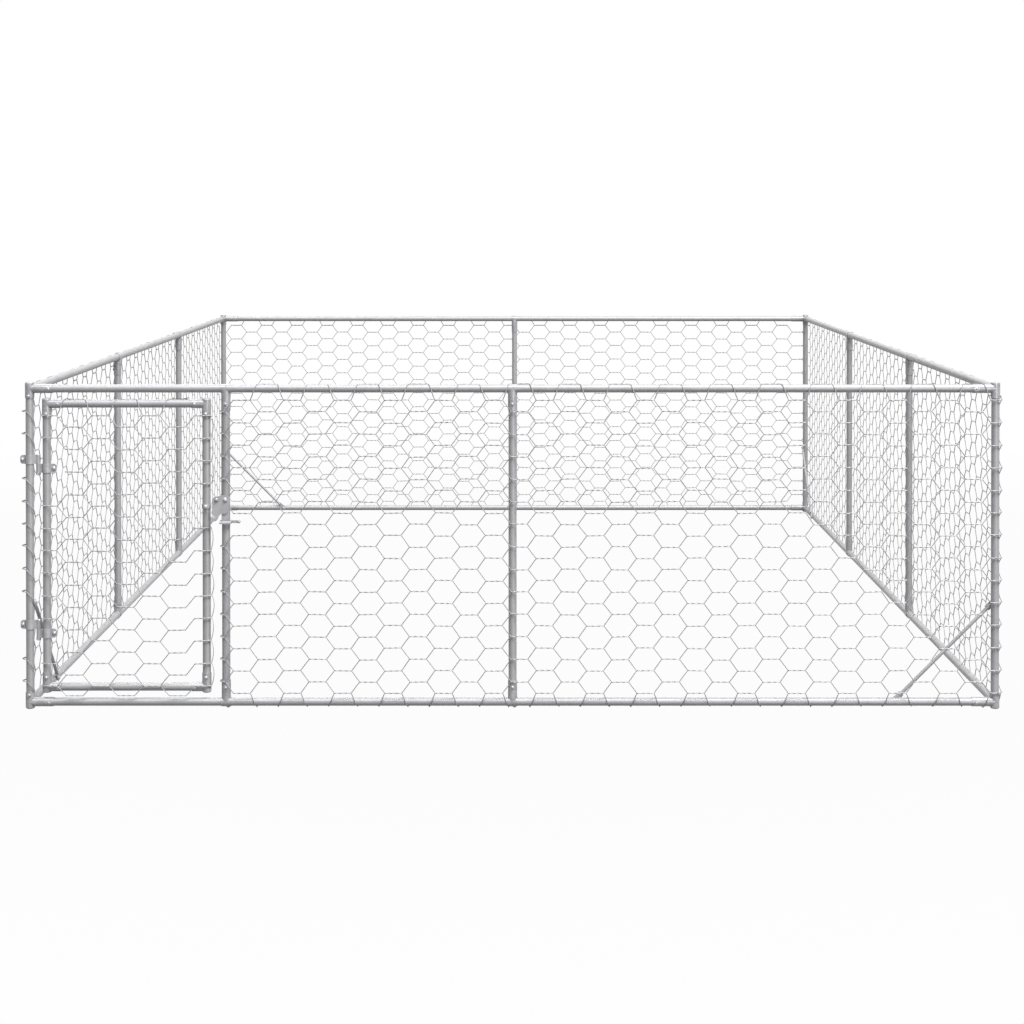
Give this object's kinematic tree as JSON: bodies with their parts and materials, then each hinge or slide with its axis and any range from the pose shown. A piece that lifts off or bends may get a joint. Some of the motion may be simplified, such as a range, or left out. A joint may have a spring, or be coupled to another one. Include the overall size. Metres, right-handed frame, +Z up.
{
  "type": "outdoor dog kennel run",
  "caption": "Low free-standing pen of round galvanised tube walled with hexagonal wire netting, with a hinged netted door and a turning fork latch.",
  "frame": {"origin": "on the ground at the middle of the run's plan", "axes": "+Z up, +Y from the door wall to the back wall, +X to the right as seen facing the door"},
  "size_m": [3.0205, 4.0205, 1.008],
  "materials": {
    "galvanised_tube": "galvanised, satin",
    "galvanised_fitting": "galvanised, smooth satin",
    "pressed_steel": "zinc plated, dull",
    "bright_zinc": "bright zinc plated",
    "netting_wire": "galvanised wire"
  },
  "bodies": {
    "run": {"post_front_left": "galvanised_tube", "post_front_right": "galvanised_tube", "post_back_left": "galvanised_tube", "post_back_right": "galvanised_tube", "post_front_middle": "galvanised_tube", "post_door": "galvanised_tube", "post_back_middle": "galvanised_tube", "post_left_front": "galvanised_tube", "post_left_rear": "galvanised_tube", "post_right_front": "galvanised_tube", "post_right_rear": "galvanised_tube", "rail_front_top": "galvanised_tube", "rail_front_bottom": "galvanised_tube", "rail_right_top": "galvanised_tube", "rail_right_bottom": "galvanised_tube", "rail_back_top": "galvanised_tube", "rail_back_bottom": "galvanised_tube", "rail_left_top": "galvanised_tube", "rail_left_bottom": "galvanised_tube", "corner_front_left_top": "galvanised_fitting", "corner_front_left_bottom": "galvanised_fitting", "corner_front_right_top": "galvanised_fitting", "corner_front_right_bottom": "galvanised_fitting", "corner_back_right_top": "galvanised_fitting", "corner_back_right_bottom": "galvanised_fitting", "corner_back_left_top": "galvanised_fitting", "corner_back_left_bottom": "galvanised_fitting", "tees_front": "galvanised_fitting", "tees_right": "galvanised_fitting", "tees_back": "galvanised_fitting", "tees_left": "galvanised_fitting", "net_front": "netting_wire", "net_right": "netting_wire", "net_back": "netting_wire", "net_left": "netting_wire", "brace_front": "galvanised_tube", "brace_right": "galvanised_tube", "brace_back": "galvanised_tube", "brace_left": "galvanised_tube", "brace_screws": "bright_zinc", "hinge_post_strap_upper": "pressed_steel", "hinge_post_strap_lower": "pressed_steel", "hinge_post_bolts": "bright_zinc", "hinge_pins": "bright_zinc", "hinge_pin_nuts": "bright_zinc", "latch_bracket": "pressed_steel", "latch_clamp_bolt": "bright_zinc", "latch_rivet": "bright_zinc"},
    "door": {"door_hinge_stile": "galvanised_tube", "door_latch_stile": "galvanised_tube", "door_top_rail": "galvanised_tube", "door_bottom_rail": "galvanised_tube", "door_elbows": "galvanised_fitting", "net_door": "netting_wire", "hinge_door_strap_upper": "pressed_steel", "hinge_door_strap_lower": "pressed_steel", "hinge_door_bolts": "bright_zinc", "latch_keeper": "pressed_steel"},
    "fork": {"latch_fork": "pressed_steel"}
  },
  "joints": [
    {"name": "door_swing", "type": "hinge", "parent": "run", "child": "door", "pos_m": [-1.46125, -1.9875, 0.5], "axis": [0, 0, 1], "range_deg": [-90, 72]},
    {"name": "fork_turn", "type": "hinge", "parent": "run", "child": "fork", "pos_m": [-0.883, -1.9875, 0.647], "axis": [0, 1, 0], "range_deg": [0, 39]}
  ]
}
